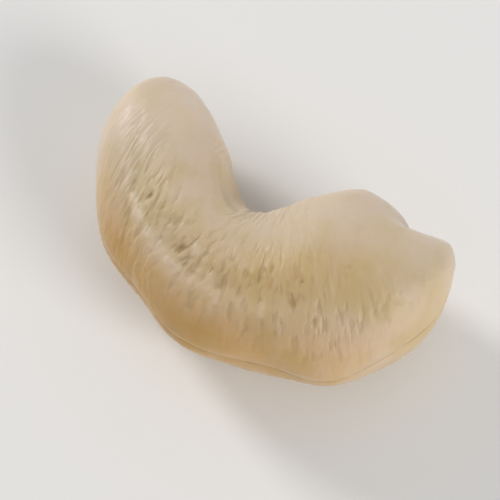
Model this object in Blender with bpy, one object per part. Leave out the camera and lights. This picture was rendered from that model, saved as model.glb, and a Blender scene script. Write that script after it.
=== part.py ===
"""One raw cashew kernel, lying on its cheek as it would on a table.

The kernel is one solid: two plump halves grown together, bent into a bean round a deep crook.
+X runs from the plain lobe to the lobe with the root tip, +Y points out of the crook and +Z up.
The origin is under the middle of the kernel, on the surface that it lies on.

The body is a ball of quads, stretched along a bent middle line and fattened by a few stations on it.
Its seam, root tip, furrows and creases are then raised or sunk along the surface's own normals.
Lengths are in millimetres until the last step.
"""

import math

import bmesh
import bpy
import numpy as np

MM = 0.001

# The middle line of the kernel, seen from above, from the plain lobe to the lobe with the root tip.
# Each station: its place (x, y), its reach outwards, its reach towards the crook, and half its thickness.
STATIONS = (
    (-11.1, 8.6, 3.6, 4.5, 4.6),
    (-10.3, 4.4, 4.3, 4.9, 4.9),
    (-8.1, 1.0, 5.1, 5.2, 5.1),
    (-4.9, -1.6, 5.0, 5.2, 5.2),
    (-1.0, -2.7, 5.4, 5.3, 5.4),
    (3.0, -1.8, 6.0, 5.9, 5.6),
    (6.7, 0.4, 6.7, 7.2, 5.8),
    (10.1, 3.1, 4.9, 7.2, 5.7),
    (13.0, 6.8, 2.2, 5.2, 5.0),
)
MIDDLE_LINE_LENGTH = 34.0
END_BLUNTNESS = 8.0
CHEEK_FULLNESS = 0.04

# The small flat that the kernel rests on, and how far each lobe lifts off the table beyond it.
# Below a low height the relief fades, so that the flat has a clean edge.
REST_DEPTH = 0.13
LOBE_LIFT = 0.9
RELIEF_FULL_HEIGHT = 2.5

# The seam between the two halves, which wanders a little up and down round the edge.
SEAM_DEPTH = 0.35
SEAM_HALF_WIDTH = 0.5
SEAM_WANDER = 0.3
SEAM_WANDER_LENGTH = 24.0
SEAM_LEAST_STRENGTH = 0.4

# The root tip, a short blunt nose on the seam, at the crook's side of the larger lobe.
ROOT_TIP = (12.4, 9.0)
ROOT_TIP_HEIGHT = 2.0
ROOT_TIP_RADIUS = 1.7
ROOT_TIP_HALF_THICKNESS = 2.6

# The notch behind the root tip, and the fold that runs from it down each cheek.
NOTCH = (9.7, 7.9)
FOLD_END = (5.6, 4.6)
NOTCH_DEPTH = 1.1
NOTCH_HALF_WIDTH = 1.15

# The furrow along each cheek, at a share of the way to the outer edge, and where along it is deepest.
FURROW_PLACE = -0.42
FURROW_DEPTH = 0.2
FURROW_HALF_WIDTH = 1.0
FURROW_MIDDLE = -2.7
FURROW_REACH = 10.0

# The creases that run from the furrow to the outer edge.
CREASE_DEPTH = 0.1
CREASE_SPACING = 2.2
CREASE_SLANT = 0.4
CREASE_BAND_PLACE = -0.68
CREASE_BAND_HALF_WIDTH = 0.33

# The dent that the bend leaves on each cheek beside the crook.
CROOK = (-1.6, 3.0)
CROOK_DENT = 0.45
CROOK_RADIUS = 3.2

# The uneven swell of the whole surface.
SWELL_DEPTH = 0.12
SWELL_LENGTH = 7.0
SWELL_WAVES = 12
SWELL_SEED = 7

# Quads along the kernel and across each of its four sides.
QUADS_ALONG = 58
QUADS_ACROSS = 20

IVORY = (0.68, 0.53, 0.34, 1.0)
WAXY_ROUGHNESS = 0.5


def clear_scene():
    for thing in list(bpy.data.objects):
        bpy.data.objects.remove(thing, do_unlink=True)


def through(stations, place):
    """A smooth curve through evenly numbered stations: its value and slope at each place."""
    values = np.asarray(stations, float)
    count = len(values)
    matrix = 4 * np.eye(count) + np.eye(count, k=1) + np.eye(count, k=-1)
    matrix[0, 0] = matrix[-1, -1] = 2
    padded = np.concatenate([values[:1], values, values[-1:]])
    slopes = np.linalg.solve(matrix, 3 * (padded[2:] - padded[:-2]))
    start = np.clip(np.floor(place).astype(int), 0, count - 2)
    t = (place - start)[:, None]
    rise = values[start + 1] - values[start]
    leaving = slopes[start] - rise
    arriving = rise - slopes[start + 1]
    value = values[start] + t * rise + t * (1 - t) * ((1 - t) * leaving + t * arriving)
    slope = rise + (1 - 2 * t) * ((1 - t) * leaving + t * arriving) + t * (1 - t) * (arriving - leaving)
    return value, slope


def ball_of_quads(quads_along, quads_across):
    """A cube cut into a grid, finer along X than across it, and moved onto the unit ball."""
    ball = bmesh.new()
    bmesh.ops.create_cube(ball, size=2)
    for axis, quads in enumerate((quads_along, quads_across, quads_across)):
        parallel = [e for e in ball.edges if abs(e.verts[0].co[axis] - e.verts[1].co[axis]) > 1]
        bmesh.ops.subdivide_edges(ball, edges=parallel, cuts=quads - 1, use_grid_fill=True)
    for vertex in ball.verts:
        vertex.co = [math.tan(c * math.pi / 4) for c in vertex.co]
        vertex.co.normalize()
    return ball


class Body:
    """The plain body's form: where each point of the ball goes, and where that is on the kernel.

    along runs from -1 at the plain lobe's tip to 1 at the other tip, across from -1 on the outer edge
    to 1 in the crook, and upward from -1 under the kernel to 1 on top of it.
    """

    def __init__(self, ball):
        self.along = ball[:, 0]
        ring = np.maximum(np.hypot(ball[:, 1], ball[:, 2]), 1e-9)
        self.across = ball[:, 1] / ring
        self.upward = ball[:, 2] / ring
        self.length = self.along * MIDDLE_LINE_LENGTH / 2

        station, slope = through(STATIONS, (self.along + 1) / 2 * (len(STATIONS) - 1))
        middle = station[:, :2]
        outer, inner, thick = station[:, 2:].T
        heading = slope[:, :2] / np.linalg.norm(slope[:, :2], axis=1)[:, None]
        inward = np.column_stack([-heading[:, 1], heading[:, 0]])

        cap = np.sqrt(np.maximum(1 - np.abs(self.along) ** END_BLUNTNESS, 0))
        fullness = cap * (1 + CHEEK_FULLNESS * (2 * self.across * self.upward) ** 2)
        self.reach = (outer + inner) / 2 + self.across * (inner - outer) / 2
        flat = middle + inward * (self.across * self.reach * fullness)[:, None]
        self.lift = self.upward * thick * fullness

        seam_height = thick - REST_DEPTH + LOBE_LIFT * np.abs(self.along) ** 3
        wander = SEAM_WANDER * np.sin(2 * math.pi * self.length / SEAM_WANDER_LENGTH)
        self.points = np.column_stack([flat, seam_height + wander * (self.across * cap) ** 2 + self.lift])


def bell(distance, width):
    return np.exp(-((distance / width) ** 2))


def swell(body):
    """Broad, shallow unevenness: a sum of long waves in seeded random directions."""
    draw = np.random.default_rng(SWELL_SEED)
    total = np.zeros(len(body.points))
    for _ in range(SWELL_WAVES):
        direction = draw.normal(size=3)
        length = SWELL_LENGTH * draw.uniform(0.7, 1.6)
        direction *= 2 * math.pi / (length * np.linalg.norm(direction))
        total += np.cos(body.points @ direction + draw.uniform(0, 2 * math.pi))
    return total * SWELL_DEPTH * math.sqrt(2 / SWELL_WAVES)


def seam(body):
    """The groove between the halves, deepest at the two ends and in the crook."""
    at_end_or_crook = np.maximum(body.along**4, (1 + body.across) / 2)
    strength = SEAM_LEAST_STRENGTH + (1 - SEAM_LEAST_STRENGTH) * at_end_or_crook
    return -SEAM_DEPTH * strength * bell(body.lift, SEAM_HALF_WIDTH)


def root_tip(body):
    distance = np.linalg.norm(body.points[:, :2] - ROOT_TIP, axis=1)
    return ROOT_TIP_HEIGHT * bell(distance, ROOT_TIP_RADIUS) * bell(body.lift, ROOT_TIP_HALF_THICKNESS)


def notch_and_fold(body):
    """The dip behind the root tip, which shallows as it runs down the cheek."""
    run = np.subtract(FOLD_END, NOTCH)
    from_notch = body.points[:, :2] - NOTCH
    share = np.clip(from_notch @ run / (run @ run), -1, 1)
    distance = np.linalg.norm(from_notch - share[:, None] * run, axis=1)
    return -NOTCH_DEPTH * bell(distance, NOTCH_HALF_WIDTH) * (1 - np.maximum(share, 0)) ** 1.5


def furrow(body):
    distance = (body.across - FURROW_PLACE) * body.reach
    return -FURROW_DEPTH * bell(distance, FURROW_HALF_WIDTH) * bell(body.length - FURROW_MIDDLE, FURROW_REACH)


def creases(body):
    """Short, uneven ripples across the band between the furrow and the outer edge."""
    length = body.length + CREASE_SLANT * np.sin(5 * body.across + body.length / 3)
    wave = np.cos(2 * math.pi * length / CREASE_SPACING + 1.5 * np.sin(0.9 * length))
    band = bell(body.across - CREASE_BAND_PLACE, CREASE_BAND_HALF_WIDTH)
    return CREASE_DEPTH * wave * band * bell(body.length - FURROW_MIDDLE, FURROW_REACH) * np.abs(body.upward)


def crook_dent(body):
    distance = np.linalg.norm(body.points[:, :2] - CROOK, axis=1)
    return -CROOK_DENT * bell(distance, CROOK_RADIUS) * np.abs(body.upward)


def read_vectors(items, attribute):
    flat = np.empty(3 * len(items), np.float32)
    items.foreach_get(attribute, flat)
    return flat.reshape(-1, 3).astype(float)


def cut_rest_flat(kernel):
    """Cuts the cheek off level with the table and closes it with one flat face."""
    everything = kernel.verts[:] + kernel.edges[:] + kernel.faces[:]
    cut = bmesh.ops.bisect_plane(
        kernel, geom=everything, dist=0.05 * MM, plane_co=(0, 0, 0), plane_no=(0, 0, 1), clear_inner=True
    )
    rim = [item for item in cut["geom_cut"] if isinstance(item, bmesh.types.BMEdge)]
    bmesh.ops.contextual_create(kernel, geom=rim)
    for vertex in {v for edge in rim for v in edge.verts}:
        vertex.co.z = 0.0
    bmesh.ops.recalc_face_normals(kernel, faces=kernel.faces[:])


def cashew_kernel():
    mesh = bpy.data.meshes.new("cashew_kernel")
    kernel = ball_of_quads(QUADS_ALONG, QUADS_ACROSS)
    kernel.to_mesh(mesh)

    body = Body(read_vectors(mesh.vertices, "co"))
    mesh.vertices.foreach_set("co", body.points.astype(np.float32).ravel())
    mesh.update()
    outwards = read_vectors(mesh.vertex_normals, "vector")

    relief = swell(body) + seam(body) + root_tip(body) + notch_and_fold(body)
    relief += furrow(body) + creases(body) + crook_dent(body)
    relief *= np.clip(body.points[:, 2] / RELIEF_FULL_HEIGHT, 0, 1)
    points = body.points + outwards * relief[:, None]

    centre = (points.min(axis=0) + points.max(axis=0)) / 2
    points[:, :2] -= centre[:2]
    for vertex, point in zip(kernel.verts, points):
        vertex.co = point * MM
    cut_rest_flat(kernel)
    kernel.to_mesh(mesh)
    kernel.free()
    mesh.shade_smooth()
    return mesh


def ivory_flesh():
    material = bpy.data.materials.new("ivory_flesh")
    material.use_nodes = True
    shader = material.node_tree.nodes["Principled BSDF"]
    shader.inputs["Base Color"].default_value = IVORY
    shader.inputs["Roughness"].default_value = WAXY_ROUGHNESS
    shader.inputs["Metallic"].default_value = 0.0
    return material


def main():
    clear_scene()
    mesh = cashew_kernel()
    mesh.materials.append(ivory_flesh())
    kernel = bpy.data.objects.new("cashew_kernel", mesh)
    bpy.context.scene.collection.objects.link(kernel)


main()
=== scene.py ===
"""One raw cashew kernel, lying on its cheek on a pale table.

The kernel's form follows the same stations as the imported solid, on a far finer grid.
Geometry nodes then work the fine relief into it: strokes, wrinkles, creases, dimples and pebbling,
the furrow's lip and the seam's hairline.
Lengths are in millimetres, and become metres where a mesh, a light or the camera is made.
"""

import math
from functools import partial

import bmesh
import bpy
import numpy as np
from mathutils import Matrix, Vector


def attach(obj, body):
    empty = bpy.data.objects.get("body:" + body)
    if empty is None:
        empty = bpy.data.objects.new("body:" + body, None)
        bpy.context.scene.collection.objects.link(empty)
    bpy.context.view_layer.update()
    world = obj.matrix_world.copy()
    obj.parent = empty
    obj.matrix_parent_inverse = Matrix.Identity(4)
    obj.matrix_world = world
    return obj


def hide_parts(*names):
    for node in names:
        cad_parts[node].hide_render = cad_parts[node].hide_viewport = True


MM = 0.001

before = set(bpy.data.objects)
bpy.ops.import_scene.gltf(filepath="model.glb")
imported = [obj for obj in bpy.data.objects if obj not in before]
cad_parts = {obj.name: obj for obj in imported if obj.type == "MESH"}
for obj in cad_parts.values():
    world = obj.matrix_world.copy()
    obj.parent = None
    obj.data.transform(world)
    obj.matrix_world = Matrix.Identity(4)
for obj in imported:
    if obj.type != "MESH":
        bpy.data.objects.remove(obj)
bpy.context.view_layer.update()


# The form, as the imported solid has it

# Each station of the middle line, from the plain lobe to the lobe with the root tip: its place (x, y),
# its reach outwards and towards the crook, and half its thickness.
STATIONS = (
    (-11.1, 8.6, 3.6, 4.5, 4.6),
    (-10.3, 4.4, 4.3, 4.9, 4.9),
    (-8.1, 1.0, 5.1, 5.2, 5.1),
    (-4.9, -1.6, 5.0, 5.2, 5.2),
    (-1.0, -2.7, 5.4, 5.3, 5.4),
    (3.0, -1.8, 6.0, 5.9, 5.6),
    (6.7, 0.4, 6.7, 7.2, 5.8),
    (10.1, 3.1, 4.9, 7.2, 5.7),
    (13.0, 6.8, 2.2, 5.2, 5.0),
)
MIDDLE_LINE_LENGTH = 34.0
END_BLUNTNESS = 8.0
CHEEK_FULLNESS = 0.04

# How deep the flat that the kernel rests on is cut, and how far each lobe lifts off the table beyond it.
REST_DEPTH = 0.13
LOBE_LIFT = 0.9

# How far above the table the broad relief and the fine relief reach their full depth.
RELIEF_FULL_HEIGHT = 2.5
FINE_RELIEF_FULL_HEIGHT = 0.8

# The seam between the two halves, which wanders a little up and down round the edge.
SEAM_DEPTH = 0.24
SEAM_HALF_WIDTH = 0.5
SEAM_WANDER = 0.3
SEAM_WANDER_LENGTH = 24.0
SEAM_LEAST_STRENGTH = 0.4

# The root tip, a short blunt nose on the seam, at the crook's side of the larger lobe.
ROOT_TIP = (12.4, 9.0)
ROOT_TIP_HEIGHT = 2.0
ROOT_TIP_RADIUS = 1.7
ROOT_TIP_HALF_THICKNESS = 2.6

# The notch behind the root tip, and the fold that runs from it down each cheek.
NOTCH = (9.7, 7.9)
FOLD_END = (5.6, 4.6)
NOTCH_DEPTH = 1.1
NOTCH_HALF_WIDTH = 1.15

# The furrow along each cheek, at a share of the way to the outer edge, and where along it is deepest.
FURROW_PLACE = -0.42
FURROW_DEPTH = 0.2
FURROW_HALF_WIDTH = 1.0
FURROW_MIDDLE = -2.7
FURROW_REACH = 10.0

# The band of creases between the furrow and the outer edge.
CREASE_BAND_PLACE = -0.68
CREASE_BAND_HALF_WIDTH = 0.33

# The dent that the bend leaves on each cheek beside the crook.
CROOK = (-1.6, 3.0)
CROOK_DENT = 0.45
CROOK_RADIUS = 3.2

# The uneven swell of the whole surface.
SWELL_DEPTH = 0.12
SWELL_LENGTH = 7.0
SWELL_LENGTH_SPREAD = (0.7, 1.6)
SWELL_WAVES = 12
SWELL_SEED = 7

# About 0.12 mm between points, so that the finest wrinkle is some four quads wide.
QUADS_ALONG = 272
QUADS_ACROSS = 76


# The skin: where its wrinkles and marks lie

# The radius of a tube of the kernel's mean girth, on which places round the kernel are counted.
RING_RADIUS = 5.4

# From where on the plain lobe the wrinkles lean over, how far on they lean by half a right angle,
# and how far round from the outer edge they turn.
LEAN_START = -2.0
LEAN_REACH = 7.0
LEAN_MIDDLE = 6.3

# The wrinkled part of the cheek: its middle and its reach, across and along the kernel.
# Past the crook its middle drops towards the outer edge.
# Here and below, a rise gives where something starts and how far on it is full.
WRINKLED_PLACE = -0.28
WRINKLED_WIDTH = 0.5
WRINKLED_MIDDLE = 0.5
WRINKLED_REACH = 11.0
WRINKLED_DROP = 0.3
WRINKLED_DROP_RISE = (2.0, 8.0)

# The short fine wrinkles, which the flesh draws too, with painted shade and bumps.
# They start and are full at these levels of their noise.
WRINKLE_WIDTH = 0.42
WRINKLE_LENGTH = 1.3
WRINKLE_LEVELS = (0.48, 0.7)

# The skin in the crook, which is wrinkled and gets painted shade.
CROOK_SKIN_RADIUS = 4.2
CROOK_SKIN_RISE = (-0.2, 1.0)

# The smooth lip on the furrow's outer side, which gets a painted highlight: how far round from the
# outer edge it runs, how wide it is, and its middle and its reach along the kernel.
LIP_GIRTH = 5.4
LIP_WIDTH = 0.55
LIP_MIDDLE = -4.2
LIP_REACH = 5.2
LIP_SMOOTHNESS = 0.5

# The dimples and the furrow's shade, inside the lip: how far round from the outer edge they lie,
# and how wide the dimples' band is.
DIMPLED_GIRTH = 7.0
DIMPLED_WIDTH = 1.1

# The dark dimples that stand out on the upper cheek: how far along and how far round from the outer edge
# they lie, their reach along and round, and their share of the full depth.
SPOTS = (
    (-5.1, 7.4, 0.20, 0.40, 0.6),
    (-2.1, 6.8, 0.20, 0.35, 0.6),
    (1.9, 6.6, 0.20, 0.42, 0.8),
    (6.1, 6.4, 0.28, 0.34, 1.0),
    (6.3, 7.4, 0.18, 0.38, 0.9),
    (6.9, 5.2, 0.18, 0.30, 0.7),
    (9.3, 8.1, 0.34, 0.20, 0.6),
    (10.7, 5.1, 0.16, 0.30, 0.6),
)


# The tints, painted shade and painted light: the most that each one covers of the flesh, and where it lies

# Oil has come up in the middle of the cheek.
OILY_MOST = 0.75
OILY_MIDDLE = 5.0
OILY_REACH = 8.0
OILY_PLACE = -0.2
OILY_WIDTH = 0.5

# The outer edge is ochre, from the plain lobe's side onwards, and less so along the larger lobe.
# The ochre is partly the flesh's own tint and partly painted shade.
OCHRE_MOST = 0.85
OCHRE_EDGE_RISE = (0.5, 0.4)
OCHRE_RISE = (-11.0, 6.0)
OCHRE_WANING = 0.75
OCHRE_WANING_RISE = (1.0, 11.0)

# The crook's rim, a patch beside the root tip and the plain lobe's end are paler: a chalk bloom with painted
# light.
PALE_MOST = 0.5
PALE_RIM_RISE = (0.05, 0.45)
PALE_RIM_MIDDLE = 4.0
PALE_RIM_REACH = 7.0
PALE_PATCH = (10.9, 6.2)
PALE_PATCH_RADIUS = 3.0
PALE_LOBE_MIDDLE = -14.0
PALE_LOBE_REACH = 3.5

# The lip gets a painted highlight, and the furrow and the crook get painted shade.
LIP_HIGHLIGHT_MOST = 0.25
FURROW_SHADE_MOST = 0.22
FURROW_SHADE_WIDTH = 1.7
FURROW_SHADE_REACH = 10.0
CROOK_SHADE_MOST = 0.2


def through(stations, place):
    """A smooth curve through evenly numbered stations: its value and slope at each place."""
    values = np.asarray(stations, float)
    count = len(values)
    matrix = 4 * np.eye(count) + np.eye(count, k=1) + np.eye(count, k=-1)
    matrix[0, 0] = matrix[-1, -1] = 2
    padded = np.concatenate([values[:1], values, values[-1:]])
    slopes = np.linalg.solve(matrix, 3 * (padded[2:] - padded[:-2]))
    start = np.clip(np.floor(place).astype(int), 0, count - 2)
    t = (place - start)[:, None]
    step = values[start + 1] - values[start]
    leaving = slopes[start] - step
    arriving = step - slopes[start + 1]
    value = values[start] + t * step + t * (1 - t) * ((1 - t) * leaving + t * arriving)
    slope = step + (1 - 2 * t) * ((1 - t) * leaving + t * arriving) + t * (1 - t) * (arriving - leaving)
    return value, slope


def ball_of_quads(quads_along, quads_across):
    """A cube cut into a grid, finer along X than across it, and where its points lie on the unit ball."""
    ball = bmesh.new()
    bmesh.ops.create_cube(ball, size=2)
    for axis, quads in enumerate((quads_along, quads_across, quads_across)):
        parallel = [e for e in ball.edges if abs(e.verts[0].co[axis] - e.verts[1].co[axis]) > 1]
        bmesh.ops.subdivide_edges(ball, edges=parallel, cuts=quads - 1, use_grid_fill=True)
    mesh = bpy.data.meshes.new("cashew_kernel_fine")
    ball.to_mesh(mesh)
    ball.free()
    spread = np.tan(read_vectors(mesh.vertices, "co") * math.pi / 4)
    return mesh, spread / np.linalg.norm(spread, axis=1)[:, None]


def read_vectors(items, attribute):
    """The vectors that a mesh's items hold, a row for each."""
    flat = np.empty(3 * len(items), np.float32)
    items.foreach_get(attribute, flat)
    return flat.reshape(-1, 3).astype(float)


def bell(distance, width):
    """Falls smoothly from 1 at no distance, and is about a third at the width."""
    return np.exp(-((distance / width) ** 2))


def rise(value, start, reach):
    """Rises evenly from 0 at the start to 1 a reach further on."""
    return np.clip((value - start) / reach, 0, 1)


class Body:
    """The plain body's form: where each point of the ball goes, and where that is on the kernel.

    along runs from -1 at the plain lobe's tip to 1 at the other tip, across from -1 on the outer edge
    to 1 in the crook, and upward from -1 under the kernel to 1 on top of it.
    """

    def __init__(self, ball):
        self.along = ball[:, 0]
        ring = np.maximum(np.hypot(ball[:, 1], ball[:, 2]), 1e-9)
        self.across = ball[:, 1] / ring
        self.upward = ball[:, 2] / ring
        self.length = self.along * MIDDLE_LINE_LENGTH / 2

        station, slope = through(STATIONS, (self.along + 1) / 2 * (len(STATIONS) - 1))
        middle = station[:, :2]
        outer, inner, thick = station[:, 2:].T
        heading = slope[:, :2] / np.linalg.norm(slope[:, :2], axis=1)[:, None]
        inward = np.column_stack([-heading[:, 1], heading[:, 0]])

        cap = np.sqrt(np.maximum(1 - np.abs(self.along) ** END_BLUNTNESS, 0))
        fullness = cap * (1 + CHEEK_FULLNESS * (2 * self.across * self.upward) ** 2)
        self.reach = (outer + inner) / 2 + self.across * (inner - outer) / 2
        flat = middle + inward * (self.across * self.reach * fullness)[:, None]
        self.lift = self.upward * thick * fullness

        seam_height = thick - REST_DEPTH + LOBE_LIFT * np.abs(self.along) ** 3
        wander = SEAM_WANDER * np.sin(2 * math.pi * self.length / SEAM_WANDER_LENGTH)
        self.points = np.column_stack([flat, seam_height + wander * (self.across * cap) ** 2 + self.lift])

    def from_plan(self, place):
        """How far each point is from a place, seen from above."""
        return np.linalg.norm(self.points[:, :2] - place, axis=1)


def swell(body):
    """Broad, shallow unevenness: a sum of long waves in seeded random directions."""
    draw = np.random.default_rng(SWELL_SEED)
    total = np.zeros(len(body.points))
    for _ in range(SWELL_WAVES):
        direction = draw.normal(size=3)
        length = SWELL_LENGTH * draw.uniform(*SWELL_LENGTH_SPREAD)
        direction *= 2 * math.pi / (length * np.linalg.norm(direction))
        total += np.cos(body.points @ direction + draw.uniform(0, 2 * math.pi))
    return total * SWELL_DEPTH * math.sqrt(2 / SWELL_WAVES)


def seam_strength(body):
    """How deep the seam is, from faint along the outer edge to full at the two ends and in the crook."""
    at_end_or_crook = np.maximum(body.along**4, (1 + body.across) / 2)
    return SEAM_LEAST_STRENGTH + (1 - SEAM_LEAST_STRENGTH) * at_end_or_crook


def fold_strength(body):
    """How close each point is to the notch behind the root tip and the fold that runs from it."""
    run = np.subtract(FOLD_END, NOTCH)
    from_notch = body.points[:, :2] - NOTCH
    share = np.clip(from_notch @ run / (run @ run), -1, 1)
    distance = np.linalg.norm(from_notch - share[:, None] * run, axis=1)
    return bell(distance, NOTCH_HALF_WIDTH) * (1 - np.maximum(share, 0)) ** 1.5


def broad_relief(body):
    """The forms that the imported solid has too, apart from the creases."""
    cheek = np.abs(body.upward)
    relief = swell(body)
    relief -= SEAM_DEPTH * seam_strength(body) * bell(body.lift, SEAM_HALF_WIDTH)
    tip = bell(body.from_plan(ROOT_TIP), ROOT_TIP_RADIUS) * bell(body.lift, ROOT_TIP_HALF_THICKNESS)
    relief += ROOT_TIP_HEIGHT * tip
    relief -= NOTCH_DEPTH * fold_strength(body)
    furrow = bell((body.across - FURROW_PLACE) * body.reach, FURROW_HALF_WIDTH)
    relief -= FURROW_DEPTH * furrow * bell(body.length - FURROW_MIDDLE, FURROW_REACH)
    relief -= CROOK_DENT * bell(body.from_plan(CROOK), CROOK_RADIUS) * cheek
    return relief


def from_outer_edge(body):
    """How far round the kernel each point is from its outer edge, as on a tube of one girth."""
    return np.arccos(np.clip(-body.across, -1, 1)) * RING_RADIUS


def place_on_skin(body):
    """Where each point is in the skin's own directions: along the kernel, and round it as on a tube.

    On the plain lobe the directions lean over, so that the wrinkles that follow them slant.
    """
    lean = rise(LEAN_START - body.length, 0, LEAN_REACH)
    leaning = body.length + lean * (from_outer_edge(body) - LEAN_MIDDLE)
    return np.column_stack([leaning, body.across * RING_RADIUS, body.upward * RING_RADIUS])


def spots(body):
    """Bells at the dark dimples, on the upper cheek alone."""
    total = np.zeros(len(body.points))
    from_edge = from_outer_edge(body)
    for length, girth, reach_along, reach_round, share in SPOTS:
        distance = np.hypot((body.length - length) / reach_along, (from_edge - girth) / reach_round)
        total += share * bell(distance, 1)
    return total * (body.upward > 0)


def lip(body):
    """How close each point is to the furrow's outer lip."""
    return bell(from_outer_edge(body) - LIP_GIRTH, LIP_WIDTH) * bell(body.length - LIP_MIDDLE, LIP_REACH)


def crook_skin(body):
    """How close each point is to the middle of the crook, on the side of the kernel that faces it."""
    return bell(body.from_plan(CROOK), CROOK_SKIN_RADIUS) * rise(body.across, *CROOK_SKIN_RISE)


def relief_zones(body):
    """Where each kind of fine relief lies, from 0 to 1, fading out where the kernel rests."""
    off_the_table = rise(body.points[:, 2], 0, FINE_RELIEF_FULL_HEIGHT)
    furrow_reach = bell(body.length - FURROW_MIDDLE, FURROW_REACH)
    wrinkled_place = WRINKLED_PLACE - WRINKLED_DROP * rise(body.length, *WRINKLED_DROP_RISE)
    wrinkled = bell(body.across - wrinkled_place, WRINKLED_WIDTH) * np.sqrt(np.abs(body.upward))
    wrinkled *= 1 - LIP_SMOOTHNESS * lip(body)
    dimpled = bell(from_outer_edge(body) - DIMPLED_GIRTH, DIMPLED_WIDTH)
    zones = {
        "wrinkled_zone": wrinkled * bell(body.length - WRINKLED_MIDDLE, WRINKLED_REACH),
        "crease_zone": bell(body.across - CREASE_BAND_PLACE, CREASE_BAND_HALF_WIDTH) * furrow_reach,
        "crook_zone": crook_skin(body),
        "lip_zone": bell(body.length - LIP_MIDDLE, LIP_REACH),
        "dimple_zone": (dimpled * furrow_reach) ** 1.5,
        "spot_zone": spots(body),
        "seam_zone": seam_strength(body),
        "all_over": np.ones(len(body.points)),
    }
    return {name: zone * off_the_table for name, zone in zones.items()}


def tints(body):
    """How much of each tint, painted shade and painted light lies where, from 0 to 1."""
    oily = bell(body.length - OILY_MIDDLE, OILY_REACH) * bell(body.across - OILY_PLACE, OILY_WIDTH)
    # Ochre along the outer edge: the flesh's own tint with painted shade mixed in.
    ochre = rise(-body.across, *OCHRE_EDGE_RISE) * rise(body.length, *OCHRE_RISE)
    ochre *= 1 - OCHRE_WANING * rise(body.length, *OCHRE_WANING_RISE)
    # Paler rims and ends: a chalk bloom with painted light where they catch it.
    chalky = rise(body.across, *PALE_RIM_RISE) * bell(body.length - PALE_RIM_MIDDLE, PALE_RIM_REACH)
    chalky += bell(body.from_plan(PALE_PATCH), PALE_PATCH_RADIUS)
    chalky += bell(body.length - PALE_LOBE_MIDDLE, PALE_LOBE_REACH)
    in_furrow = bell(from_outer_edge(body) - DIMPLED_GIRTH, FURROW_SHADE_WIDTH)
    return {
        "oily": OILY_MOST * oily,
        "ochre": OCHRE_MOST * ochre,
        "chalky": PALE_MOST * np.clip(chalky, 0, 1),
        # Painted highlight on the lip.
        "lip_bloom": LIP_HIGHLIGHT_MOST * lip(body),
        # Painted shade in the furrow and in the crook.
        "furrow_shade": FURROW_SHADE_MOST * in_furrow * bell(body.length, FURROW_SHADE_REACH),
        "crook_shade": CROOK_SHADE_MOST * crook_skin(body),
    }


def distances(body):
    """How far each point is from the seam and from the crest of the furrow's lip."""
    return {"from_seam": np.abs(body.lift), "from_lip": from_outer_edge(body) - LIP_GIRTH}


def plain_kernel():
    """The kernel with its broad relief, and with the zones, the tints and the distances on its points."""
    mesh, ball = ball_of_quads(QUADS_ALONG, QUADS_ACROSS)
    body = Body(ball)
    mesh.vertices.foreach_set("co", body.points.astype(np.float32).ravel())
    mesh.update()
    outwards = read_vectors(mesh.vertex_normals, "vector")

    relief = broad_relief(body) * rise(body.points[:, 2], 0, RELIEF_FULL_HEIGHT)
    points = body.points + outwards * relief[:, None]
    points[:, :2] -= (points[:, :2].min(axis=0) + points[:, :2].max(axis=0)) / 2
    points[:, 2] = np.maximum(points[:, 2], 0)
    mesh.vertices.foreach_set("co", (points * MM).astype(np.float32).ravel())
    mesh.update()
    for name, values in (relief_zones(body) | tints(body) | distances(body)).items():
        mesh.attributes.new(name, "FLOAT", "POINT").data.foreach_set("value", values.astype(np.float32))
    skin = place_on_skin(body).astype(np.float32).ravel()
    mesh.attributes.new("place_on_skin", "FLOAT_VECTOR", "POINT").data.foreach_set("vector", skin)
    mesh.shade_smooth()
    kernel = bpy.data.objects.new("cashew_kernel_fine", mesh)
    bpy.context.scene.collection.objects.link(kernel)
    return kernel


# Nodes

SMOOTH = {"interpolation_type": "SMOOTHSTEP"}


def add(tree, kind, *inputs, output=0, named=(), **settings):
    """Adds a node with its settings and its inputs, in order or by name, and gives one of its outputs."""
    node = tree.nodes.new(kind)
    for name, value in settings.items():
        setattr(node, name, value)
    for socket, value in [*enumerate(inputs), *dict(named).items()]:
        if isinstance(value, bpy.types.NodeSocket):
            tree.links.new(value, node.inputs[socket])
        else:
            node.inputs[socket].default_value = value
    return node.outputs[output]


# The fine relief

# Its sizes, which the tree takes as its inputs.
RELIEF_SIZES = (
    ("Stroke Spacing", 0.65),
    ("Stroke Length", 2.0),
    ("Stroke Depth", 0.17),
    ("Dash Spacing", 0.5),
    ("Dash Length", 1.2),
    ("Dash Height", 0.1),
    ("Wrinkle Depth", 0.05),
    ("Crease Spacing", 1.1),
    ("Crease Length", 3.6),
    ("Crease Depth", 0.07),
    ("Crook Wrinkle Depth", 0.1),
    ("Lip Height", 0.12),
    ("Lip Half Width", 0.65),
    ("Dimple Spacing", 1.3),
    ("Dimple Radius", 0.48),
    ("Dimple Depth", 0.1),
    ("Spot Depth", 0.17),
    ("Hairline Half Width", 0.16),
    ("Hairline Depth", 0.14),
    ("Pebble Size", 1.3),
    ("Pebble Depth", 0.1),
)
RELIEF_SEED = 5

# How far sideways the strokes, the creases and the lip wander.
STROKE_WANDER = 0.7
CREASE_WANDER = 2.0
LIP_WANDER = 0.7

# How often the broader patterns change, per millimetre.
MEANDERS_PER_MM = 0.35
PATCHES_PER_MM = 0.45
LIP_WANDERS_PER_MM = 0.5
LIP_BREAKS_PER_MM = 0.7
SPOT_FLOORS_PER_MM = 1.6
HAIRLINE_BREAKS_PER_MM = 0.5

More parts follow.
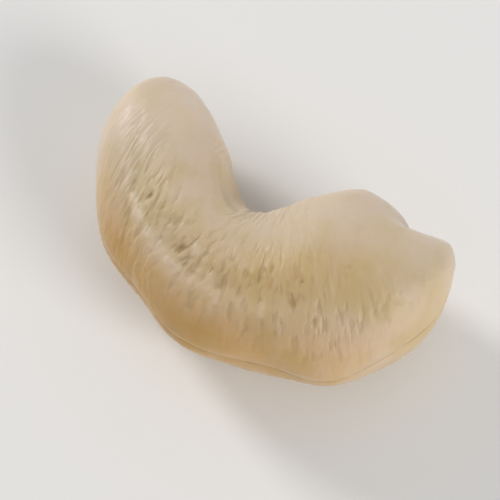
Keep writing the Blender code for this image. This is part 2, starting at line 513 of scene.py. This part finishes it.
# The levels of the noise at which each pattern starts and is full.
# A least is what is left of the pattern where it is weakest.
STROKE_LEVELS = (0.46, 0.8)
DASH_LEVELS = (0.48, 0.72)
PATCH_LEVELS = (0.35, 0.6)
PATCH_LEAST = 0.6
CREASE_HALF_LEVEL = 0.14
LIP_LEVELS = (0.38, 0.6)
LIP_LEAST = 0.25
SPOT_LEVELS = (0.3, 0.6)
SPOT_LEAST = 0.3
HAIRLINE_LEVELS = (0.0, 0.53)

DIMPLES_PER_SQUARE_MM = 1.2


def fine_relief_tree(material):
    """Works the small relief into the kernel's skin, along its normals, with sizes in millimetres.

    Strokes, wrinkles and creases run round the kernel, so their noise is stretched that way.
    Dimples are scattered along the furrow, and the seam gets a hairline down its middle.
    """
    tree = bpy.data.node_groups.new("fine_relief", "GeometryNodeTree")
    tree.interface.new_socket("Kernel", in_out="INPUT", socket_type="NodeSocketGeometry")
    for name, value in RELIEF_SIZES:
        tree.interface.new_socket(name, in_out="INPUT", socket_type="NodeSocketFloat").default_value = value
    seed = tree.interface.new_socket("Seed", in_out="INPUT", socket_type="NodeSocketInt")
    seed.default_value = RELIEF_SEED
    tree.interface.new_socket("Kernel", in_out="OUTPUT", socket_type="NodeSocketGeometry")
    given = tree.nodes.new("NodeGroupInput").outputs
    node = partial(add, tree)

    position = node("GeometryNodeInputPosition")
    in_mm = node("ShaderNodeVectorMath", position, named={"Scale": 1 / MM}, operation="SCALE")
    skin = node("GeometryNodeInputNamedAttribute", "place_on_skin", data_type="FLOAT_VECTOR")
    meander = node("ShaderNodeTexNoise", named={"Vector": in_mm, "Scale": MEANDERS_PER_MM})

    def wavering(spacing, length, wander, detail):
        """Noise that changes quickly along the kernel and slowly round it, and wanders sideways."""
        sideways = node("ShaderNodeMath", meander, wander, operation="MULTIPLY")
        shifted = node("ShaderNodeVectorMath", skin, node("ShaderNodeCombineXYZ", sideways), operation="ADD")
        cell = node("ShaderNodeCombineXYZ", given[spacing], given[length], given[length])
        cells = node("ShaderNodeVectorMath", shifted, cell, operation="DIVIDE")
        inputs = {"Vector": cells, "W": given["Seed"], "Scale": 1.0, "Detail": detail}
        return node("ShaderNodeTexNoise", named=inputs, noise_dimensions="4D")

    # Strokes are short shallow hollows over the cheek and dashes are short ridges among them.
    # Both are stronger in some patches.
    patches = node("ShaderNodeTexNoise", named={"Vector": in_mm, "Scale": PATCHES_PER_MM})
    patches = node("ShaderNodeMapRange", patches, *PATCH_LEVELS, PATCH_LEAST, 1.0, **SMOOTH)
    stroke = wavering("Stroke Spacing", "Stroke Length", wander=STROKE_WANDER, detail=1.0)
    stroke = node("ShaderNodeMapRange", stroke, *STROKE_LEVELS, **SMOOTH)
    stroke = node("ShaderNodeMath", stroke, patches, operation="MULTIPLY")
    dash = wavering("Dash Spacing", "Dash Length", wander=STROKE_WANDER, detail=0.5)
    dash = node("ShaderNodeMapRange", dash, *DASH_LEVELS, **SMOOTH)
    dash = node("ShaderNodeMath", dash, patches, operation="MULTIPLY")

    # Fine wrinkles lie just where the flesh draws them.
    cell = (WRINKLE_WIDTH, WRINKLE_LENGTH, WRINKLE_LENGTH)
    cells = node("ShaderNodeVectorMath", skin, cell, operation="DIVIDE")
    wrinkle = node("ShaderNodeTexNoise", named={"Vector": cells, "Scale": 1.0, "Detail": 1.0})
    wrinkle = node("ShaderNodeMapRange", wrinkle, *WRINKLE_LEVELS, **SMOOTH)

    # Creases towards the outer edge and in the crook are long and narrow, between round crests.
    crease = wavering("Crease Spacing", "Crease Length", wander=CREASE_WANDER, detail=2.0)
    from_floor = node("ShaderNodeMath", crease, 0.5, operation="SUBTRACT")
    from_floor = node("ShaderNodeMath", from_floor, operation="ABSOLUTE")
    crease = node("ShaderNodeMapRange", from_floor, CREASE_HALF_LEVEL, 0.0, **SMOOTH)

    # The furrow's outer lip wanders, and comes and goes.
    from_lip = node("GeometryNodeInputNamedAttribute", "from_lip", data_type="FLOAT")
    sideways = node("ShaderNodeTexNoise", named={"Vector": in_mm, "Scale": LIP_WANDERS_PER_MM})
    sideways = node("ShaderNodeMapRange", sideways, 0.0, 1.0, -LIP_WANDER, LIP_WANDER)
    from_crest = node("ShaderNodeMath", from_lip, sideways)
    from_crest = node("ShaderNodeMath", from_crest, operation="ABSOLUTE")
    ridge = node("ShaderNodeMapRange", from_crest, given["Lip Half Width"], 0.0, **SMOOTH)
    unbroken = node("ShaderNodeTexNoise", named={"Vector": in_mm, "Scale": LIP_BREAKS_PER_MM})
    unbroken = node("ShaderNodeMapRange", unbroken, *LIP_LEVELS, LIP_LEAST, 1.0, **SMOOTH)
    ridge = node("ShaderNodeMath", ridge, unbroken, operation="MULTIPLY")

    # Dimples of uneven depth lie at points scattered along the furrow.
    inputs = {
        "Mesh": given["Kernel"],
        "Distance Min": node("ShaderNodeMath", given["Dimple Spacing"], MM, operation="MULTIPLY"),
        "Density Max": DIMPLES_PER_SQUARE_MM / MM**2,
        "Density Factor": node("GeometryNodeInputNamedAttribute", "dimple_zone", data_type="FLOAT"),
        "Seed": given["Seed"],
    }
    scattered = node("GeometryNodeDistributePointsOnFaces", named=inputs, distribute_method="POISSON")
    near = node("GeometryNodeProximity", scattered, target_element="POINTS", output="Distance")
    radius = node("ShaderNodeMath", given["Dimple Radius"], MM, operation="MULTIPLY")
    dimple = node("ShaderNodeMapRange", near, radius, 0.0, **SMOOTH)
    which = node("GeometryNodeSampleNearest", scattered)
    uneven = node("FunctionNodeRandomValue", named={"ID": which, "Seed": given["Seed"]}, output="Value")
    dimple = node("ShaderNodeMath", dimple, uneven, operation="MULTIPLY")

    # The dark dimples have ragged floors.
    spot = node("ShaderNodeTexNoise", named={"Vector": in_mm, "Scale": SPOT_FLOORS_PER_MM})
    spot = node("ShaderNodeMapRange", spot, *SPOT_LEVELS, SPOT_LEAST, 1.0, **SMOOTH)

    # The seam's hairline is broken here and there.
    from_seam = node("GeometryNodeInputNamedAttribute", "from_seam", data_type="FLOAT")
    hairline = node("ShaderNodeMapRange", from_seam, given["Hairline Half Width"], 0.0, **SMOOTH)
    whole = node("ShaderNodeTexNoise", named={"Vector": in_mm, "Scale": HAIRLINE_BREAKS_PER_MM})
    whole = node("ShaderNodeMapRange", whole, *HAIRLINE_LEVELS)
    hairline = node("ShaderNodeMath", hairline, whole, operation="MULTIPLY")

    # Pebbling lies all over, as drying shrinks the flesh.
    per_mm = node("ShaderNodeMath", 1.0, given["Pebble Size"], operation="DIVIDE")
    pebble = node("ShaderNodeTexNoise", named={"Vector": in_mm, "Scale": per_mm, "Detail": 3.0})
    pebble = node("ShaderNodeMath", pebble, 0.5, operation="SUBTRACT")

    # Each pattern is sunk in or raised where its zone lies.
    hollow = 0.0
    for pattern, zone, way, depth in (
        (stroke, "wrinkled_zone", "ADD", "Stroke Depth"),
        (dash, "wrinkled_zone", "SUBTRACT", "Dash Height"),
        (wrinkle, "wrinkled_zone", "ADD", "Wrinkle Depth"),
        (crease, "crease_zone", "ADD", "Crease Depth"),
        (crease, "crook_zone", "ADD", "Crook Wrinkle Depth"),
        (ridge, "lip_zone", "SUBTRACT", "Lip Height"),
        (dimple, "all_over", "ADD", "Dimple Depth"),
        (spot, "spot_zone", "ADD", "Spot Depth"),
        (hairline, "seam_zone", "ADD", "Hairline Depth"),
        (pebble, "all_over", "ADD", "Pebble Depth"),
    ):
        deep = node("ShaderNodeMath", pattern, given[depth], operation="MULTIPLY")
        in_zone = node("GeometryNodeInputNamedAttribute", zone, data_type="FLOAT")
        part = node("ShaderNodeMath", deep, in_zone, operation="MULTIPLY")
        hollow = node("ShaderNodeMath", hollow, part, operation=way)

    inwards = node("ShaderNodeMath", hollow, -MM, operation="MULTIPLY")
    normal = node("GeometryNodeInputNormal")
    offset = node("ShaderNodeVectorMath", normal, named={"Scale": inwards}, operation="SCALE")
    inputs = {"Name": "hollow", "Value": hollow}
    kept = node("GeometryNodeStoreNamedAttribute", given["Kernel"], named=inputs)
    worked = node("GeometryNodeSetPosition", kept, named={"Offset": offset})
    whole_mesh = node("GeometryNodeRealizeInstances", worked)
    dressed = node("GeometryNodeSetMaterial", whole_mesh, named={"Material": material})
    tree.links.new(dressed, tree.nodes.new("NodeGroupOutput").inputs["Kernel"])
    return tree


def work_in(kernel, tree):
    """Runs the tree on the kernel and keeps the result as the kernel's plain mesh."""
    modifier = kernel.modifiers.new("fine_relief", "NODES")
    modifier.node_group = tree
    evaluated = kernel.evaluated_get(bpy.context.evaluated_depsgraph_get())
    worked = bpy.data.meshes.new_from_object(evaluated)
    kernel.modifiers.remove(modifier)
    plain = kernel.data
    kernel.data = worked
    bpy.data.meshes.remove(plain)
    worked.name = kernel.name


# Colours and finishes

def linear(hex_colour):
    """An sRGB hex colour as the linear colour that the shader takes."""
    channels = [int(hex_colour[i : i + 2], 16) / 255 for i in (1, 3, 5)]
    return (*(c / 12.92 if c <= 0.04045 else ((c + 0.055) / 1.055) ** 2.4 for c in channels), 1.0)


def new_material(name):
    material = bpy.data.materials.new(name)
    material.use_nodes = True
    tree = material.node_tree
    return material, tree, tree.nodes["Principled BSDF"]


# The seam's dark line, and the painted shade and the edges of the fine wrinkles.
SEAM_LINE_HALF_WIDTH = 0.24
WRINKLE_SHADE_MOST = 0.4
WRINKLE_EDGE_HEIGHT = 0.1

# The depths at which painted shade starts to darken the hollows and is darkest,
# and at which painted light starts to pale the crests and is palest, with the most that each covers.
HOLLOW_DEPTHS = (0.03, 0.17)
HOLLOW_SHADE_MOST = 0.5
CREST_DEPTHS = (0.0, -0.1)
CREST_LIGHT_MOST = 0.4

# Grain and creping, which are finer than the mesh, and the roughness of the skin where it is glossiest
# and where it is dullest.
GRAIN_SIZE = 0.2
GRAIN_HEIGHT = 0.005
CREPE_WIDTH = 0.3
CREPE_LENGTH = 0.9
CREPE_HEIGHT = 0.03
CREPE_STRENGTHS = (0.35, 1.0)
ROUGHNESSES = (0.38, 0.58)


def blanched_cashew_flesh():
    """Raw cashew flesh, steamed and peeled: dense, oily and slightly see-through.

    Light sinks about half a millimetre into it, so its edges glow cream.
    Its waxy skin gives a broad soft shine.
    It is greyish pink where the skin is fresh, straw yellow where oil has come up in the middle
    of the cheek, and ochre along the outer edge, where some painted shade is mixed in.
    Painted shade darkens its hollows, wrinkles, furrow and crook, and painted light pales its crests and
    lip.
    """
    material, tree, flesh = new_material("blanched_cashew_flesh")
    node = partial(add, tree)
    place = node("ShaderNodeTexCoord", output="Object")
    in_mm = node("ShaderNodeMapping", place, named={"Scale": (1 / MM, 1 / MM, 1 / MM)})
    skin = node("ShaderNodeAttribute", attribute_name="place_on_skin", output="Vector")
    wrinkled_zone = node("ShaderNodeAttribute", attribute_name="wrinkled_zone", output="Fac")
    seam_zone = node("ShaderNodeAttribute", attribute_name="seam_zone", output="Fac")
    from_seam = node("ShaderNodeAttribute", attribute_name="from_seam", output="Fac")
    hollow = node("ShaderNodeAttribute", attribute_name="hollow", output="Fac")

    def patches(size, low, high, most=1.0, detail=3.0, length=None):
        """Soft-edged patches from 0 to the most, between two levels of noise of a size in millimetres.

        With a length they follow the skin: the size is along the kernel, and the length round it.
        """
        cell = (size, length or size, length or size)
        cells = node("ShaderNodeVectorMath", skin if length else in_mm, cell, operation="DIVIDE")
        noise = node("ShaderNodeTexNoise", named={"Vector": cells, "Scale": 1.0, "Detail": detail})
        return node("ShaderNodeMapRange", noise, low, high, 0.0, most, **SMOOTH)

    straw = patches(size=4.0, low=0.36, high=0.64, detail=1.5)
    dull = patches(size=2.2, low=0.5, high=0.8, most=0.35)
    streaks = patches(size=0.8, length=2.0, low=0.45, high=0.75, most=0.5, detail=1.0)
    streaks = node("ShaderNodeMath", streaks, wrinkled_zone, operation="MULTIPLY")
    wrinkles = patches(WRINKLE_WIDTH, *WRINKLE_LEVELS, length=WRINKLE_LENGTH, detail=1.0)
    # Painted shade in the fine wrinkles.
    shade_in_wrinkles = node("ShaderNodeMath", wrinkles, wrinkled_zone, operation="MULTIPLY")
    shade_in_wrinkles = node("ShaderNodeMath", shade_in_wrinkles, WRINKLE_SHADE_MOST, operation="MULTIPLY")
    # Painted shade in the hollows and painted light on the crests, by depth.
    shade_in_hollows = node("ShaderNodeMapRange", hollow, *HOLLOW_DEPTHS, 0.0, HOLLOW_SHADE_MOST, **SMOOTH)
    light_on_crests = node("ShaderNodeMapRange", hollow, *CREST_DEPTHS, 0.0, CREST_LIGHT_MOST, **SMOOTH)

    # The seam's dark line fades where the seam does, and is broken here and there.
    seam_line = node("ShaderNodeMapRange", from_seam, SEAM_LINE_HALF_WIDTH, 0.0, **SMOOTH)
    for share in (seam_zone, patches(size=1.8, low=0.3, high=0.65, most=0.8)):
        seam_line = node("ShaderNodeMath", seam_line, share, operation="MULTIPLY")

    # Each colour lies over those before it, as far as its share says.
    colour = linear("#DAC5AE")
    for share, hex_colour in (
        (straw, "#D3BE98"),
        ("oily", "#CDAC6A"),
        # Ochre: the flesh's own tint with painted shade mixed in.
        ("ochre", "#C8963E"),
        (streaks, "#E2CCB4"),
        (dull, "#BDA56E"),
        # Paler rims and ends: a chalk bloom with painted light.
        ("chalky", "#E4D0BA"),
        # Painted highlight on the lip.
        ("lip_bloom", "#E6CFBF"),
        # Painted shade in the furrow and in the crook.
        ("furrow_shade", "#AE9260"),
        ("crook_shade", "#C39C62"),
        # Painted shade in the fine wrinkles.
        (shade_in_wrinkles, "#A98856"),
        # Painted shade in the hollows and painted light on the crests.
        (shade_in_hollows, "#9C7E50"),
        (light_on_crests, "#E6D2BA"),
        (seam_line, "#8A6438"),
    ):
        if isinstance(share, str):
            share = node("ShaderNodeAttribute", attribute_name=share, output="Fac")
        # Sockets 6 and 7 take the colours below and above, and output 2 gives the mixed one.
        inputs = {6: colour, 7: linear(hex_colour)}
        colour = node("ShaderNodeMix", share, named=inputs, data_type="RGBA", output=2)
    tree.links.new(colour, flesh.inputs["Base Color"])

    gloss = patches(size=1.6, low=0.2, high=0.8)
    gloss = node("ShaderNodeMapRange", gloss, 0.0, 1.0, *ROUGHNESSES)
    tree.links.new(gloss, flesh.inputs["Roughness"])

    # Fine grain lies under creping and the edges of the wrinkles.
    grain = patches(size=GRAIN_SIZE, low=0.2, high=0.8)
    grained = {"Height": grain, "Distance": GRAIN_HEIGHT * MM, "Strength": 0.6}
    grained = node("ShaderNodeBump", named=grained)
    crepe = patches(size=CREPE_WIDTH, length=CREPE_LENGTH, low=0.1, high=0.9, detail=2.0)
    crepe_strength = node("ShaderNodeMapRange", wrinkled_zone, 0.0, 1.0, *CREPE_STRENGTHS)
    creped = {"Height": crepe, "Distance": CREPE_HEIGHT * MM, "Strength": crepe_strength, "Normal": grained}
    creped = node("ShaderNodeBump", named=creped)
    wrinkled = {"Height": wrinkles, "Distance": WRINKLE_EDGE_HEIGHT * MM, "Strength": wrinkled_zone}
    wrinkled = node("ShaderNodeBump", named=wrinkled | {"Normal": creped}, invert=True)
    tree.links.new(wrinkled, flesh.inputs["Normal"])

    # A dry bloom on the skin shows as a pale rim where the surface turns away.
    flesh.inputs["Sheen Weight"].default_value = 0.18
    flesh.inputs["Sheen Roughness"].default_value = 0.4
    flesh.inputs["IOR"].default_value = 1.46
    flesh.inputs["Subsurface Weight"].default_value = 0.35
    flesh.inputs["Subsurface Radius"].default_value = (1.0, 0.68, 0.42)
    flesh.inputs["Subsurface Scale"].default_value = 0.5 * MM
    return material


def matt_card():
    """Plain pale card, rough enough to show no reflection."""
    material, _, card = new_material("matt_card")
    card.inputs["Base Color"].default_value = linear("#F4F2EF")
    card.inputs["Roughness"].default_value = 0.9
    return material


# The table, the light and the camera

TABLE_WIDTH = 3000
TABLE_GAP = 0.02

# The lights and the camera are aimed at this height in the kernel.
KERNEL_MIDDLE_HEIGHT = 5.5

VIEW_AZIMUTH = 32
VIEW_ELEVATION = 68
FOCAL_LENGTH = 200
FRAME_WIDTH = 36.0
NEAREST_SEEN = 10
FARTHEST_SEEN = 10000

# Each light: its name, its azimuth from the camera's, its elevation, its width and its power in watts.
LIGHTS = (
    ("key_from_behind_left", -135, 26, 150, 1.25),
    ("fill_from_the_right", 50, 28, 250, 1.15),
)
LIGHT_DISTANCE = 500
SKY_STRENGTH = 0.46


def from_angle(azimuth, elevation, distance):
    """A place round the kernel: azimuth 0 is in front of its outer edge, and 90 is off its right end."""
    a, e = math.radians(azimuth), math.radians(elevation)
    return Vector((math.sin(a) * math.cos(e), -math.cos(a) * math.cos(e), math.sin(e))) * distance


def aim(thing, target):
    thing.rotation_euler = (target - thing.location).to_track_quat("-Z", "Y").to_euler()


def table_top():
    """A plain table top, just under the kernel, so that the two faces don't meet."""
    half = TABLE_WIDTH / 2 * MM
    below = -TABLE_GAP * MM
    corners = [(x, y, below) for x, y in ((-half, -half), (half, -half), (half, half), (-half, half))]
    mesh = bpy.data.meshes.new("table_top")
    mesh.from_pydata(corners, [], [(0, 1, 2, 3)])
    mesh.materials.append(matt_card())
    table = bpy.data.objects.new("table_top", mesh)
    bpy.context.scene.collection.objects.link(table)


def soft_light(name, place, width, power, target):
    light = bpy.data.lights.new(name, "AREA")
    light.shape = "DISK"
    light.size = width
    light.energy = power
    lamp = bpy.data.objects.new(name, light)
    lamp.location = place
    bpy.context.scene.collection.objects.link(lamp)
    aim(lamp, target)


def daylight(strength):
    world = bpy.data.worlds.new("daylight")
    world.use_nodes = True
    sky = world.node_tree.nodes["Background"]
    sky.inputs["Color"].default_value = linear("#F7F8FA")
    sky.inputs["Strength"].default_value = strength
    bpy.context.scene.world = world


def camera(middle):
    """A long lens over the upper cheek, with the crook opening to the upper right as in the photograph."""
    view = bpy.data.cameras.new("camera")
    view.lens = FOCAL_LENGTH
    view.clip_start = NEAREST_SEEN * MM
    view.clip_end = FARTHEST_SEEN * MM
    holder = bpy.data.objects.new("camera", view)
    distance = FRAME_WIDTH * MM * FOCAL_LENGTH / view.sensor_width
    holder.location = middle + from_angle(VIEW_AZIMUTH, VIEW_ELEVATION, distance)
    bpy.context.scene.collection.objects.link(holder)
    aim(holder, middle)
    bpy.context.scene.camera = holder


def main():
    flesh = blanched_cashew_flesh()
    kernel = plain_kernel()
    work_in(kernel, fine_relief_tree(flesh))
    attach(kernel, "root")
    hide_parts("cashew_kernel")

    middle = Vector((0, 0, KERNEL_MIDDLE_HEIGHT * MM))
    table_top()
    daylight(SKY_STRENGTH)
    for name, azimuth, elevation, width, power in LIGHTS:
        place = from_angle(VIEW_AZIMUTH + azimuth, elevation, LIGHT_DISTANCE * MM)
        soft_light(name, place, width * MM, power, middle)
    camera(middle)
    bpy.context.scene.view_settings.view_transform = "Standard"


main()
